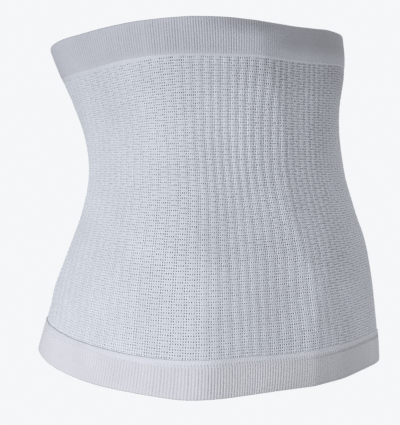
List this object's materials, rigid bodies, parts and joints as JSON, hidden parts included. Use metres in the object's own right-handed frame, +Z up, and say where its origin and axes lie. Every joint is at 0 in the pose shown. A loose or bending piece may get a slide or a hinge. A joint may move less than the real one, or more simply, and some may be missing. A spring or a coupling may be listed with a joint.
{
  "type": "waist support sleeve",
  "caption": "Seamless knitted waist support sleeve in its worn form, open at both ends, with a pinhole openwork body, plain strips and a ribbed welt at each rim.",
  "frame": {"origin": "centre of the waist section, where the sleeve sits on the wearer", "axes": "+Z up along the wearer's torso, the wearer's front toward -Y, the wearer's left toward +X"},
  "size_m": [0.288, 0.269, 0.2802],
  "materials": {
    "openwork_knit": "matte pale grey openwork knit with rows of pinholes",
    "rib_welt": "matte pale grey fine rib knit",
    "plain_knit": "matte pale grey plain knit"
  },
  "bodies": {
    "root": {"top_band": "rib_welt", "upper_strip": "plain_knit", "knit_body": "openwork_knit", "lower_strip": "plain_knit", "bottom_band": "rib_welt"}
  },
  "joints": []
}
